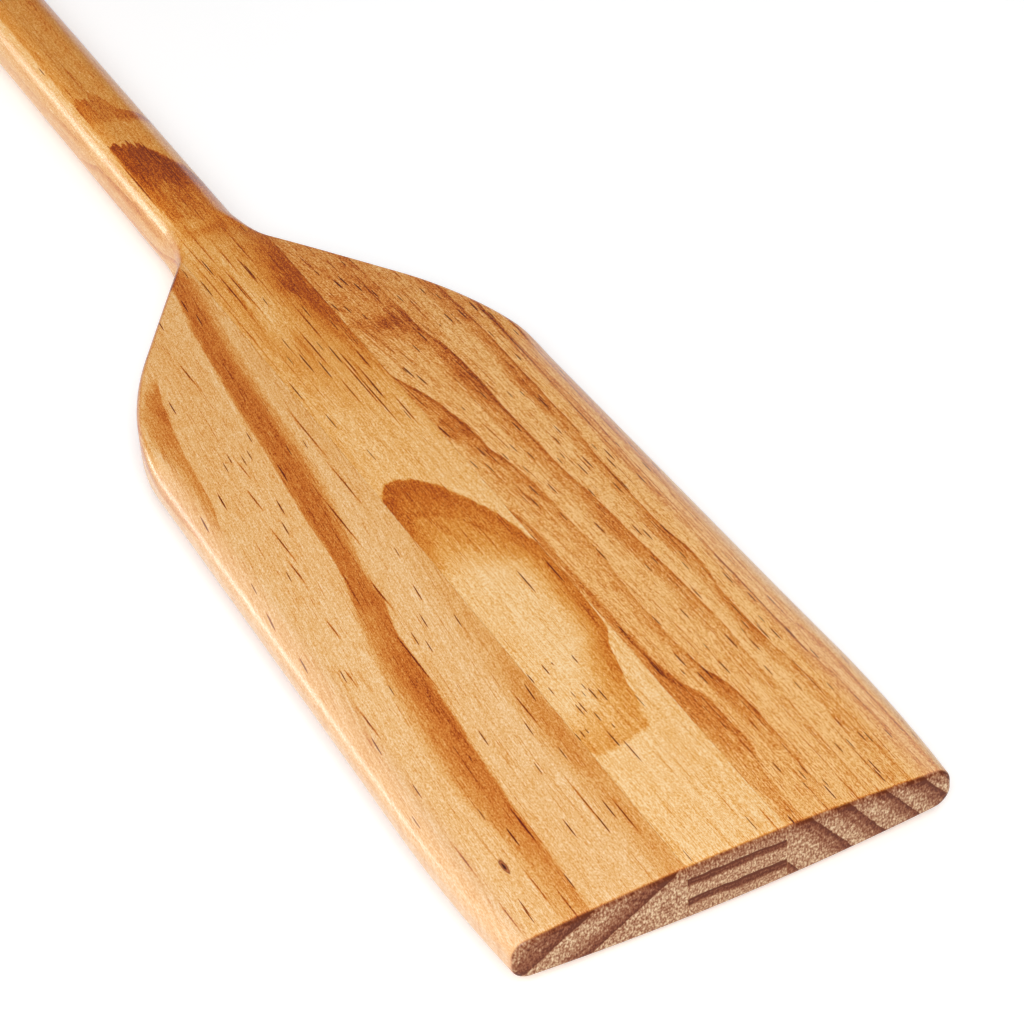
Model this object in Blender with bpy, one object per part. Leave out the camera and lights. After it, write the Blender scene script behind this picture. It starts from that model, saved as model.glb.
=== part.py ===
"""Wooden boat paddle, 4 ft long, in clear-varnished pine.

The blank is glued up from five boards and then shaped as one: a long stave that is shaft,
blade core and grip core, two boards that widen the blade, and two cheeks that widen the grip.
Here the shaped outside is one lofted form, and each board is a plain blank cut to that form.

Metres, +Z up. The paddle lies face up on its back: +X to the right, the blade tip at -Y and
the grip at +Y, with the origin below the middle of its length, on the surface it lies on.
"""
import math

import bmesh
import bpy
import numpy as np

# Lengths along the paddle, from the blade tip
OVERALL_LENGTH = 1.220
BLADE_SIDE_LENGTH = 0.2755
SHOULDER_LENGTH = 0.078
NECK_TAPER_LENGTH = 0.020
TIP_CURVE_LENGTH = 0.060
GRIP_FLARE_LENGTH = 0.072
GRIP_PALM_LENGTH = 0.034

# Widths
BLADE_WIDTH = 0.1472
TIP_WIDTH = 0.1413
SHOULDER_WIDTH = 0.1404
SHAFT_WIDTH = 0.0285
SIDE_ALLOWANCE = 0.00175
GRIP_WIDTH = 0.066

# Thicknesses, at the middle of the blade's width and at its edge
SHAFT_THICKNESS = 0.0243
NECK_THICKNESS = 0.0232
ROOT_THICKNESS = 0.0222
TIP_THICKNESS = 0.0196
NECK_EDGE_THICKNESS = 0.0195
ROOT_EDGE_THICKNESS = 0.0138
TIP_EDGE_THICKNESS = 0.0128

# Roundings in plan and of the sawn tip
SHOULDER_RADIUS = 0.120
NECK_RADIUS = 0.024
TIP_ARRIS = 0.0015

# Roundings of the long edges: how far in from the side they start, and how deep they go
TIP_ROUND_WIDTH = 0.0050
TIP_ROUND_DEPTH = 0.0050
SIDE_ROUND_WIDTH = 0.0075
SIDE_ROUND_DEPTH = 0.0060
SHOULDER_ROUND_WIDTH = 0.0026
SHOULDER_ROUND_DEPTH = 0.0030
SHAFT_ROUND_WIDTH = 0.0100
SHAFT_ROUND_DEPTH = 0.0110
GRIP_ROUND_WIDTH = 0.0180
GRIP_ROUND_DEPTH = 0.0115
ROUND_CHANGE_LENGTH = 0.023
SIDE_FLAT = 0.0006

# The top of the palm grip: where its oval is cut flat, and how thin it is there
PALM_END_ANGLE = math.radians(84)
PALM_END_SHARE = 0.53

# Glue joints, and the board ends that stop just short of a feather edge
JOINT_GAP = 0.0003
BOARD_END = 0.0008
BLANK_MARGIN = 0.010

# Facets
CROWN_STEPS = 4
NOSE_STEPS = 6
ARRIS_STEPS = 3
SIDE_STEPS = 14
SHOULDER_STEPS = 26
NECK_STEPS = 8
SHAFT_STEPS = 6
FLARE_STEPS = 14
PALM_STEPS = 12

# Share of the shorter neighbouring line that an outline arc may use
FILLET_SHARE = 0.48

# Where the close facets of the shoulder begin, and how finely the outline is searched
SHOULDER_FACETS_Y = 0.8 * BLADE_SIDE_LENGTH
SEARCH_STEPS = 4001

# Worked out from the sizes above
STAVE_WIDTH = SHAFT_WIDTH + 2 * SIDE_ALLOWANCE
NECK_Y = BLADE_SIDE_LENGTH + SHOULDER_LENGTH
SHAFT_START_Y = NECK_Y + NECK_TAPER_LENGTH
PALM_Y = OVERALL_LENGTH - GRIP_PALM_LENGTH
FLARE_Y = PALM_Y - GRIP_FLARE_LENGTH

WOODS = {
    "shaft_stave": (0.74, 0.44, 0.17),
    "left_blade_board": (0.76, 0.46, 0.22),
    "right_blade_board": (0.68, 0.38, 0.18),
    "left_grip_cheek": (0.74, 0.45, 0.20),
    "right_grip_cheek": (0.70, 0.40, 0.18),
}


def smooth(t):
    """Ease from 0 to 1 with level ends."""
    t = np.clip(t, 0.0, 1.0)
    return t * t * (3 - 2 * t)


def eased(y, stations):
    """Value at y that eases from each (place, value) station to the next."""
    value = np.full_like(y, stations[0][1])
    for (y0, v0), (y1, v1) in zip(stations, stations[1:]):
        value = np.where(y >= y0, v0 + (v1 - v0) * smooth((y - y0) / (y1 - y0)), value)
    return value


def filleted(y, corners, radii):
    """Half width at y along a run of straight lines, with an arc at each inner corner.

    corners are (y, half width). Each arc touches both its lines, and is kept within half of each.
    """
    places, widths = np.array(corners).T
    half = np.interp(y, places, widths)
    for k, radius in enumerate(radii, start=1):
        angles = np.arctan2(np.diff(widths), np.diff(places))
        before, after = angles[k - 1], angles[k]
        turn = abs(after - before)
        room = FILLET_SHARE * min(places[k] - places[k - 1], places[k + 1] - places[k])
        tangent = min(radius * math.tan(turn / 2), room)
        radius = tangent / math.tan(turn / 2)
        side = math.copysign(1.0, after - before)
        start_y = places[k] - tangent * math.cos(before)
        start_w = widths[k] - tangent * math.sin(before)
        centre_y = start_y - side * radius * math.sin(before)
        centre_w = start_w + side * radius * math.cos(before)
        end_y = places[k] + tangent * math.cos(after)
        arc = centre_w - side * np.sqrt(np.maximum(radius ** 2 - (y - centre_y) ** 2, 0.0))
        half = np.where((y > start_y) & (y < end_y), arc, half)
    return half


def half_width(y):
    """Plan outline: curved tip corner, slightly tapered side, shoulder, neck, shaft and grip."""
    corners = [
        (TIP_CURVE_LENGTH, BLADE_WIDTH / 2),
        (BLADE_SIDE_LENGTH, SHOULDER_WIDTH / 2),
        (NECK_Y, SHAFT_WIDTH / 2),
        (FLARE_Y, SHAFT_WIDTH / 2),
    ]
    half = filleted(y, corners, [SHOULDER_RADIUS, NECK_RADIUS])
    tip_curve = np.clip(1 - y / TIP_CURVE_LENGTH, 0.0, 1.0) ** 2
    half = half - (BLADE_WIDTH - TIP_WIDTH) / 2 * tip_curve
    flare = smooth((y - FLARE_Y) / GRIP_FLARE_LENGTH)
    return half + (GRIP_WIDTH - SHAFT_WIDTH) / 2 * flare


def edge_rounding(y, tip, side, shoulder, shaft, grip):
    """Size of the edge's rounding at y, easing between its sizes along the paddle."""
    side_end = BLADE_SIDE_LENGTH - ROUND_CHANGE_LENGTH
    return eased(y, [
        (0.0, tip),
        (side_end / 2, side),
        (side_end, side),
        (BLADE_SIDE_LENGTH, shoulder),
        (NECK_Y, shoulder),
        (SHAFT_START_Y, shaft),
        (FLARE_Y, shaft),
        (PALM_Y, grip),
    ])


def section_sizes(y):
    """Half width, half thickness in the middle and at the edge, and the edge's rounding."""
    middle = eased(y, [
        (0.0, TIP_THICKNESS / 2),
        (BLADE_SIDE_LENGTH, ROOT_THICKNESS / 2),
        (NECK_Y, NECK_THICKNESS / 2),
        (SHAFT_START_Y, SHAFT_THICKNESS / 2),
    ])
    edge = eased(y, [
        (0.0, TIP_EDGE_THICKNESS / 2),
        (BLADE_SIDE_LENGTH, ROOT_EDGE_THICKNESS / 2),
        (NECK_Y, NECK_EDGE_THICKNESS / 2),
        (SHAFT_START_Y, SHAFT_THICKNESS / 2),
    ])
    round_width = edge_rounding(y, TIP_ROUND_WIDTH, SIDE_ROUND_WIDTH, SHOULDER_ROUND_WIDTH,
                                SHAFT_ROUND_WIDTH, GRIP_ROUND_WIDTH)
    round_depth = edge_rounding(y, TIP_ROUND_DEPTH, SIDE_ROUND_DEPTH, SHOULDER_ROUND_DEPTH,
                                SHAFT_ROUND_DEPTH, GRIP_ROUND_DEPTH)
    return half_width(y), middle, edge, round_width, round_depth


def section_ring(y, half, middle, edge, round_width, round_depth):
    """Closed ring of points: two crowned faces, each rounded over to a narrow flat side."""
    round_depth = min(round_depth, edge - SIDE_FLAT)
    face = half - round_width
    crown_x = face * np.linspace(0.0, 1.0, CROWN_STEPS + 1)[:-1]
    angle = np.linspace(0.0, math.pi / 2, NOSE_STEPS + 1)
    x = np.concatenate([crown_x, face + round_width * np.sin(angle)])
    drop = np.concatenate([np.zeros(CROWN_STEPS), round_depth * (1 - np.cos(angle))])
    z = middle - (middle - edge) * (x / half) ** 2 - drop
    quarter = np.stack([x, np.full_like(x, y), z], axis=1)
    under_right = quarter[::-1] * (1, 1, -1)
    under_left = quarter[1:] * (-1, 1, -1)
    top_left = quarter[:0:-1] * (-1, 1, 1)
    return np.concatenate([quarter, under_right, under_left, top_left])


def form_rings():
    """All the rings of the shaped outside, from the sawn tip to the top of the grip."""
    marks = [
        (TIP_ARRIS, SHOULDER_FACETS_Y, SIDE_STEPS),
        (SHOULDER_FACETS_Y, NECK_Y, SHOULDER_STEPS),
        (NECK_Y, SHAFT_START_Y, NECK_STEPS),
        (SHAFT_START_Y, FLARE_Y, SHAFT_STEPS),
        (FLARE_Y, PALM_Y, FLARE_STEPS),
    ]
    body = np.concatenate([np.linspace(a, b, n, endpoint=False) for a, b, n in marks])
    rings = []

    # The sawn end, with its arris rounded over
    for angle in np.linspace(0.0, math.pi / 2, ARRIS_STEPS, endpoint=False):
        y = TIP_ARRIS * (1 - math.cos(angle))
        inset = TIP_ARRIS * (1 - math.sin(angle))
        half, middle, edge, *rounding = (float(v) for v in section_sizes(np.array(y)))
        rings.append(section_ring(y, half - inset, middle - inset, edge - inset, *rounding))

    for y, *sizes in zip(body, *section_sizes(body)):
        rings.append(section_ring(y, *sizes))

    # The palm end, which closes in width and in thickness on quarter ovals
    half, middle, edge, *rounding = (float(v) for v in section_sizes(np.array(PALM_Y)))
    for angle in np.linspace(0.0, PALM_END_ANGLE, PALM_STEPS):
        along = math.sin(angle) / math.sin(PALM_END_ANGLE)
        width_share = math.cos(angle)
        depth_share = math.sqrt(1 - (1 - PALM_END_SHARE ** 2) * along ** 3)
        rings.append(section_ring(PALM_Y + GRIP_PALM_LENGTH * along, half * width_share,
                                  middle * depth_share, edge * depth_share,
                                  rounding[0] * width_share, rounding[1] * depth_share))
    return np.array(rings)


def lofted_form(collection):
    """The shaped outside of the whole paddle, as a guide that the boards are cut to."""
    rings = form_rings()
    ring_count, points, _ = rings.shape
    index = np.arange(ring_count * points).reshape(ring_count, points)
    following = np.roll(index, -1, axis=1)
    sides = np.stack([index[:-1], index[1:], following[1:], following[:-1]], axis=-1)
    faces = sides.reshape(-1, 4).tolist() + [index[0].tolist(), index[-1][::-1].tolist()]
    mesh = bpy.data.meshes.new("shaped_form")
    mesh.from_pydata(rings.reshape(-1, 3).tolist(), [], faces)
    mesh.validate()
    work = bmesh.new()
    work.from_mesh(mesh)
    bmesh.ops.recalc_face_normals(work, faces=work.faces)
    work.to_mesh(mesh)
    work.free()
    form = bpy.data.objects.new("shaped_form", mesh)
    form.hide_render = True
    form.display_type = 'WIRE'
    collection.objects.link(form)
    return form


def pine(name, colour):
    """Clear-varnished pine in one board's own colour."""
    material = bpy.data.materials.new(name + "_pine")
    material.use_nodes = True
    shader = material.node_tree.nodes["Principled BSDF"]
    shader.inputs["Base Color"].default_value = (*colour, 1.0)
    shader.inputs["Roughness"].default_value = 0.35
    shader.inputs["Metallic"].default_value = 0.0
    return material


def board(name, x_range, y_range, form, parent, collection):
    """A rectangular blank between the given limits, shaped to the form."""
    x0, x1 = x_range
    y0, y1 = y_range
    height = SHAFT_THICKNESS + 2 * BLANK_MARGIN
    mesh = bpy.data.meshes.new(name)
    work = bmesh.new()
    bmesh.ops.create_cube(work, size=1.0)
    bmesh.ops.scale(work, vec=(x1 - x0, y1 - y0, height), verts=work.verts)
    work.to_mesh(mesh)
    work.free()
    blank = bpy.data.objects.new(name, mesh)
    blank.parent = parent
    blank.location = ((x0 + x1) / 2, (y0 + y1) / 2, 0.0)
    collection.objects.link(blank)
    mesh.materials.append(pine(name, WOODS[name]))
    shaping = blank.modifiers.new("shaping", 'BOOLEAN')
    shaping.operation = 'INTERSECT'
    shaping.solver = 'EXACT'
    shaping.object = form
    return blank


def crossing(y_low, y_high, target):
    """Where the plan outline's half width passes the target between two places."""
    y = np.linspace(y_low, y_high, SEARCH_STEPS)
    inside = half_width(y) >= target
    return y[inside].min(), y[inside].max()


def build():
    for item in list(bpy.data.objects):
        bpy.data.objects.remove(item, do_unlink=True)
    scene = bpy.context.scene
    parts = bpy.data.collections.new("boat_paddle")
    guides = bpy.data.collections.new("shaping_guides")
    scene.collection.children.link(parts)
    scene.collection.children.link(guides)

    frame = bpy.data.objects.new("paddle_frame", None)
    frame.location = (0.0, -OVERALL_LENGTH / 2, SHAFT_THICKNESS / 2)
    parts.objects.link(frame)
    form = lofted_form(guides)
    form.parent = frame

    stave_side = (STAVE_WIDTH - JOINT_GAP) / 2
    board_side = (STAVE_WIDTH + JOINT_GAP) / 2
    blade_outside = BLADE_WIDTH / 2 + BLANK_MARGIN
    grip_outside = GRIP_WIDTH / 2 + BLANK_MARGIN
    ends = (-BLANK_MARGIN, OVERALL_LENGTH + BLANK_MARGIN)
    shown = board_side + BOARD_END
    blade_board_end = crossing(0.0, SHAFT_START_Y, shown)[1]
    cheek_start = crossing(FLARE_Y, PALM_Y, shown)[0]
    blade_ends = (-BLANK_MARGIN, blade_board_end)
    cheek_ends = (cheek_start, OVERALL_LENGTH + BLANK_MARGIN)

    board("shaft_stave", (-stave_side, stave_side), ends, form, frame, parts)
    board("left_blade_board", (-blade_outside, -board_side), blade_ends, form, frame, parts)
    board("right_blade_board", (board_side, blade_outside), blade_ends, form, frame, parts)
    board("left_grip_cheek", (-grip_outside, -board_side), cheek_ends, form, frame, parts)
    board("right_grip_cheek", (board_side, grip_outside), cheek_ends, form, frame, parts)


build()
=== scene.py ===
"""The looks of a clear-varnished pine boat paddle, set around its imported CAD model.

The frame is in metres: +Y runs from the blade tip to the grip, +X is right across the blade, +Z
is up, and the paddle lies on z = 0. Each of the five boards is a surface worked out from the
same shaping formula, and each is cut from its own piece of pine, whose growth rings are layers
in space. On the stave the face and the sawn end cut the same layers. On the side boards they
share the lean of the layers, and the rings of the end have places of their own.
"""
import math
from types import SimpleNamespace

import bpy
import numpy as np
from mathutils import Matrix, Vector


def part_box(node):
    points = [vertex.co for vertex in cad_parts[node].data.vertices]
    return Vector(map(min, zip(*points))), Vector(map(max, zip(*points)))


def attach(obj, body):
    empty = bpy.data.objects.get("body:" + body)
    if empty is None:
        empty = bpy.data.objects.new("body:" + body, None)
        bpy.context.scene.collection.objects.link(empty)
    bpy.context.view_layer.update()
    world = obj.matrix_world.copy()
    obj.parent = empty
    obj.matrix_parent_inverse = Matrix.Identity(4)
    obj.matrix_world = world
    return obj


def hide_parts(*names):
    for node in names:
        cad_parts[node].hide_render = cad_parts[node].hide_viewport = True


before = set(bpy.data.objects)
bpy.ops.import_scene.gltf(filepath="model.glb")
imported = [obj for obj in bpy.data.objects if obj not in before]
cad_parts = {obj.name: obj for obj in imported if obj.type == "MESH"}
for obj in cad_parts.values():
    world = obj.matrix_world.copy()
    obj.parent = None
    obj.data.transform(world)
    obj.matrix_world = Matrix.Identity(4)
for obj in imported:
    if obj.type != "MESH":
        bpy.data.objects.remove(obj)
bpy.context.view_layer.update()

# Lengths along the paddle from the blade tip, in metres
low_corner, high_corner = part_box("shaft_stave")
TIP_PLACE = low_corner.y
OVERALL_LENGTH = high_corner.y - low_corner.y
BLADE_SIDE_LENGTH = 0.2755
SHOULDER_LENGTH = 0.078
NECK_TAPER_LENGTH = 0.020
TIP_CURVE_LENGTH = 0.060
GRIP_FLARE_LENGTH = 0.072
GRIP_PALM_LENGTH = 0.034

# Widths in metres
BLADE_WIDTH = 0.14706
TIP_WIDTH = 0.1413
SHOULDER_WIDTH = 0.1404
SHAFT_WIDTH = 0.0285
STAVE_WIDTH = 0.0320
GRIP_WIDTH = 0.066

# Thicknesses in metres, at the middle of the blade's width and at its edge
SHAFT_THICKNESS = high_corner.z - low_corner.z
NECK_THICKNESS = 0.0232
ROOT_THICKNESS = 0.0222
TIP_THICKNESS = 0.0196
NECK_EDGE_THICKNESS = 0.0195
ROOT_EDGE_THICKNESS = 0.0138
TIP_EDGE_THICKNESS = 0.0128

# Roundings in metres: in plan, of the sawn tip, and of the long edges in width and depth
SHOULDER_RADIUS = 0.120
NECK_RADIUS = 0.024
TIP_ARRIS = 0.0015
TIP_ROUND = (0.0050, 0.0050)
SIDE_ROUND = (0.0075, 0.0060)
SHOULDER_ROUND = (0.0026, 0.0030)
SHAFT_ROUND = (0.0100, 0.0110)
GRIP_ROUND = (0.0180, 0.0115)
ROUND_CHANGE = (0.238, 0.260)
SIDE_FLAT = 0.0006
PALM_END_ANGLE = math.radians(84)
PALM_END_SHARE = 0.53

# Half the width of a glue line, in metres
GLUE = 0.00003

# Steps along the paddle: over the tip's arris, then along each span, closest at the shoulders
ARRIS_STEPS = 6
BLADE_STEPS_ALONG = 100
SHOULDER_STEPS_ALONG = 200
SHAFT_STEPS_ALONG = 70
FLARE_STEPS_ALONG = 60
PALM_SECTIONS = 40

# Share of the blade's side after which the close steps of the shoulders begin
CLOSE_STEPS_START = 0.8

# Steps across the face of each kind of board, and down its side
STAVE_STEPS = 72
BLADE_STEPS = 84
CHEEK_STEPS = 40
SIDE_STEPS = 8

# Turn of the surface from which an edge is shaded sharp
SHARP_ANGLE = math.radians(40)

# Places worked out from the sizes above
MID_HEIGHT = SHAFT_THICKNESS / 2
NECK_Y = BLADE_SIDE_LENGTH + SHOULDER_LENGTH
SHAFT_START_Y = NECK_Y + NECK_TAPER_LENGTH
PALM_Y = OVERALL_LENGTH - GRIP_PALM_LENGTH
FLARE_Y = PALM_Y - GRIP_FLARE_LENGTH

# Millimetres in a metre
MM = 1000.0


def new_object(name, data):
    """Object for a mesh, a lamp or a camera, linked to the scene."""
    made = bpy.data.objects.new(name, data)
    bpy.context.scene.collection.objects.link(made)
    return made


def smooth(t):
    """Ease from 0 to 1: three t squared less two t cubed."""
    t = np.clip(t, 0.0, 1.0)
    return t * t * (3 - 2 * t)


def eased(y, stations):
    """Value at y that eases from each (place, value) station to the next."""
    value = np.full_like(y, stations[0][1])
    for (y0, v0), (y1, v1) in zip(stations, stations[1:]):
        value = np.where(y >= y0, v0 + (v1 - v0) * smooth((y - y0) / (y1 - y0)), value)
    return value


def filleted(y, corners, radii):
    """Half width along straight lines between (y, half width) corners, with an arc at each turn.

    The arc of radius r leaves each line at r times the tangent of half the turn from the corner.
    """
    places, widths = np.array(corners).T
    half = np.interp(y, places, widths)
    for k, radius in enumerate(radii, start=1):
        angles = np.arctan2(np.diff(widths), np.diff(places))
        before, after = angles[k - 1], angles[k]
        tangent = radius * math.tan(abs(after - before) / 2)
        side = math.copysign(1.0, after - before)
        start_y = places[k] - tangent * math.cos(before)
        start_w = widths[k] - tangent * math.sin(before)
        centre_y = start_y - side * radius * math.sin(before)
        centre_w = start_w + side * radius * math.cos(before)
        end_y = places[k] + tangent * math.cos(after)
        arc = centre_w - side * np.sqrt(np.maximum(radius ** 2 - (y - centre_y) ** 2, 0.0))
        half = np.where((y > start_y) & (y < end_y), arc, half)
    return half


def half_width(y):
    """Plan outline: curved tip corner, tapered side, shoulder, neck, shaft and flared grip.

    It is the filleted outline, less a tip curve that grows with the square of the nearness to
    the tip, plus a flare that eases out to the grip.
    """
    corners = [
        (TIP_CURVE_LENGTH, BLADE_WIDTH / 2),
        (BLADE_SIDE_LENGTH, SHOULDER_WIDTH / 2),
        (NECK_Y, SHAFT_WIDTH / 2),
        (FLARE_Y, SHAFT_WIDTH / 2),
    ]
    half = filleted(y, corners, [SHOULDER_RADIUS, NECK_RADIUS])
    tip_curve = np.clip(1 - y / TIP_CURVE_LENGTH, 0.0, 1.0) ** 2
    half = half - (BLADE_WIDTH - TIP_WIDTH) / 2 * tip_curve
    flare = smooth((y - FLARE_Y) / GRIP_FLARE_LENGTH)
    return half + (GRIP_WIDTH - SHAFT_WIDTH) / 2 * flare


def sections(y):
    """Half width, half thickness in the middle and at the edge, and the rounding, for each y.

    Each thickness and rounding eases from one named place along the paddle to the next, and the
    rounding leaves a narrow flat at the side.
    """
    middle = eased(y, [
        (0.0, TIP_THICKNESS / 2),
        (BLADE_SIDE_LENGTH, ROOT_THICKNESS / 2),
        (NECK_Y, NECK_THICKNESS / 2),
        (SHAFT_START_Y, SHAFT_THICKNESS / 2),
    ])
    edge = eased(y, [
        (0.0, TIP_EDGE_THICKNESS / 2),
        (BLADE_SIDE_LENGTH, ROOT_EDGE_THICKNESS / 2),
        (NECK_Y, NECK_EDGE_THICKNESS / 2),
        (SHAFT_START_Y, SHAFT_THICKNESS / 2),
    ])
    side_end, shoulder_start = ROUND_CHANGE
    width, depth = (eased(y, [
        (0.0, TIP_ROUND[k]),
        (side_end / 2, SIDE_ROUND[k]),
        (side_end, SIDE_ROUND[k]),
        (shoulder_start, SHOULDER_ROUND[k]),
        (NECK_Y, SHOULDER_ROUND[k]),
        (SHAFT_START_Y, SHAFT_ROUND[k]),
        (FLARE_Y, SHAFT_ROUND[k]),
        (PALM_Y, GRIP_ROUND[k]),
    ]) for k in (0, 1))
    return np.stack([y, half_width(y), middle, edge, width, np.minimum(depth, edge - SIDE_FLAT)])


def stations():
    """Every section of the paddle as a column: y, half width, thicknesses and rounding.

    At the sawn tip the sizes shrink along a quarter circle, which rounds the arris. At the palm
    end the width follows the cosine of an angle and y its sine. The thickness there follows the
    square root of one less a share of that sine's cube.
    """
    arris = np.linspace(0.0, math.pi / 2, ARRIS_STEPS + 1)[:-1]
    tip = sections(TIP_ARRIS * (1 - np.cos(arris)))
    tip[1:4] -= TIP_ARRIS * (1 - np.sin(arris))
    tip[5] = np.minimum(tip[5], tip[3] - SIDE_FLAT)
    close_start = BLADE_SIDE_LENGTH * CLOSE_STEPS_START
    spans = [
        (TIP_ARRIS, close_start, BLADE_STEPS_ALONG),
        (close_start, SHAFT_START_Y, SHOULDER_STEPS_ALONG),
        (SHAFT_START_Y, FLARE_Y, SHAFT_STEPS_ALONG),
        (FLARE_Y, PALM_Y, FLARE_STEPS_ALONG),
    ]
    body = np.concatenate([np.linspace(a, b, n, endpoint=False) for a, b, n in spans])
    angle = np.linspace(0.0, PALM_END_ANGLE, PALM_SECTIONS)
    share = np.sin(angle) / math.sin(PALM_END_ANGLE)
    palm = np.repeat(sections(np.array([PALM_Y])), len(angle), axis=1)
    palm[0] += GRIP_PALM_LENGTH * share
    palm[[1, 4]] *= np.cos(angle)
    palm[[2, 3, 5]] *= np.sqrt(1 - (1 - PALM_END_SHARE ** 2) * share ** 3)
    return np.concatenate([tip, sections(body), palm], axis=1)


def cut_where(columns, reach):
    """The run of sections wider than reach, with a section put in where each end crosses it."""
    wide = np.flatnonzero(columns[1] > reach)
    first, last = wide[0], wide[-1]
    run = [columns[:, first:last + 1]]
    if first > 0:
        before, after = columns[:, first - 1], columns[:, first]
        t = (reach - before[1]) / (after[1] - before[1])
        run.insert(0, (before + (after - before) * t)[:, None])
    if last < columns.shape[1] - 1:
        before, after = columns[:, last], columns[:, last + 1]
        t = (before[1] - reach) / (before[1] - after[1])
        run.append((before + (after - before) * t)[:, None])
    return np.concatenate(run, axis=1)


# Share of the across parameter that the crowned face takes, the rest being the rounding
FACE_SHARE = 0.6


def across(columns, x):
    """Parameter s for place x: even along the crowned face, then even in the rounding's angle."""
    _, half, _, _, width, _ = columns
    face = half - width
    turned = np.arcsin(np.clip((np.abs(x) - face) / width, 0.0, 1.0)) / (math.pi / 2)
    s = np.where(np.abs(x) <= face, FACE_SHARE * np.abs(x) / face,
                 FACE_SHARE + (1 - FACE_SHARE) * turned)
    return np.copysign(s, x)


def face_points(columns, s):
    """x and height of the upper face for parameters s, one row of s for each section.

    The height is the middle thickness, less the crown, which grows with the square of x, less
    the rounding, a quarter ellipse from the face's edge to the side.
    """
    _, half, middle, edge, width, depth = columns[:, :, None]
    face = half - width
    size = np.abs(s)
    angle = np.clip((size - FACE_SHARE) / (1 - FACE_SHARE), 0.0, 1.0) * math.pi / 2
    x = np.copysign(np.where(size < FACE_SHARE, face * size / FACE_SHARE,
                             face + width * np.sin(angle)), s)
    height = middle - (middle - edge) * (x / half) ** 2 - depth * (1 - np.cos(angle))
    return x, height


def board_mesh(name, columns, left, right, steps):
    """Closed skin of the board between x = left and x = right, as rings of points along y.

    A ring runs over the upper face, down the right side, back along the lower face, which
    mirrors the upper one, and up the left side.
    """
    low = across(columns, np.maximum(left, -columns[1]))[:, None]
    high = across(columns, np.minimum(right, columns[1]))[:, None]
    s = low + (high - low) * np.linspace(0.0, 1.0, steps + 1)
    x, z = face_points(columns, s)
    fall = np.linspace(1.0, -1.0, SIDE_STEPS + 1)[1:-1]
    ring_x = np.concatenate([x, np.repeat(x[:, -1:], len(fall), 1),
                             x[:, ::-1], np.repeat(x[:, :1], len(fall), 1)], axis=1)
    ring_z = np.concatenate([z, z[:, -1:] * fall, -z[:, ::-1], -z[:, :1] * fall], axis=1)
    ring_y = np.broadcast_to(columns[0][:, None], ring_x.shape)
    points = np.stack([ring_x, ring_y + TIP_PLACE, ring_z + MID_HEIGHT], axis=-1)
    index = np.arange(points.shape[0] * points.shape[1]).reshape(points.shape[:2])
    following = np.roll(index, -1, axis=1)
    sides = np.stack([index[:-1], index[1:], following[1:], following[:-1]], axis=-1)
    faces = sides.reshape(-1, 4).tolist() + [index[0].tolist(), index[-1][::-1].tolist()]
    mesh = bpy.data.meshes.new(name)
    mesh.from_pydata(points.reshape(-1, 3).tolist(), [], faces)
    mesh.update()
    mesh.shade_smooth()
    mesh.set_sharp_from_angle(angle=SHARP_ANGLE)
    return new_object(name, mesh)


def linear(hex_colour):
    """Linear colour with alpha 1 from an sRGB hex value such as "#c08040"."""
    srgb = np.array([int(hex_colour[k:k + 2], 16) for k in (1, 3, 5)]) / 255
    value = np.where(srgb <= 0.04045, srgb / 12.92, ((srgb + 0.055) / 1.055) ** 2.4)
    return (*value.tolist(), 1.0)


WHITE = linear("#ffffff")


def empty_tree(owner):
    """Node tree of a material or of the world, with nothing in it yet."""
    owner.use_nodes = True
    owner.node_tree.nodes.clear()
    return owner.node_tree


def add(tree, kind, *values, out=0, named=None, stops=(), points=(), **settings):
    """Add a node with its settings, ramp stops or curve points, and values or links.

    Values go to the inputs in order, and named ones to the inputs of those names. The result
    is the output that out names or numbers.
    """
    node = tree.nodes.new("ShaderNode" + kind)
    for name, value in settings.items():
        setattr(node, name, value)
    for place, colour in stops[2:]:
        node.color_ramp.elements.new(place)
    for k, (place, colour) in enumerate(stops):
        node.color_ramp.elements[k].position = place
        grey = not isinstance(colour, str)
        node.color_ramp.elements[k].color = (colour,) * 3 + (1.0,) if grey else linear(colour)
    for place in points[2:]:
        node.mapping.curves[0].points.new(*place)
    for k, place in enumerate(points):
        node.mapping.curves[0].points[k].location = place
        node.mapping.curves[0].points[k].handle_type = 'AUTO_CLAMPED'
    for socket, value in [*enumerate(values), *(named or {}).items()]:
        if isinstance(value, bpy.types.NodeSocket):
            tree.links.new(value, node.inputs[socket])
        else:
            node.inputs[socket].default_value = value
    return node.outputs[out] if node.outputs else None


# The Mix node's sockets for two numbers and for two colours, and its output for a colour
NUMBER_A = 2
NUMBER_B = 3
COLOUR_A = 6
COLOUR_B = 7
MIXED_COLOUR = 2


def along(tree, y, path):
    """Value that follows the (y, value) points of a path, with y in mm."""
    places, values = np.array(path, dtype=float).T
    if len(path) == 1 or np.ptp(values) == 0:
        return float(values[0])
    low, span = float(values.min()), float(np.ptp(values))
    points = list(zip((places / places[-1]).tolist(), ((values - low) / span).tolist()))
    share = add(tree, "Math", y, float(places[-1]), operation='DIVIDE', use_clamp=True)
    curve = add(tree, "FloatCurve", 1.0, share, points=points)
    return add(tree, "Math", curve, span, low, operation='MULTIPLY_ADD')


def noise(tree, place, sizes, seed, detail=2.0):
    """Pattern from -0.5 to 0.5 with lumps of the given sizes in mm across, along and through."""
    scales = tuple(1.0 / size for size in sizes)
    vector = add(tree, "VectorMath", place, scales, (seed, seed, seed), operation='MULTIPLY_ADD')
    made = add(tree, "TexNoise", vector, named={"Scale": 1.0, "Detail": detail})
    return add(tree, "Math", made, 0.5, operation='SUBTRACT')


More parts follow.
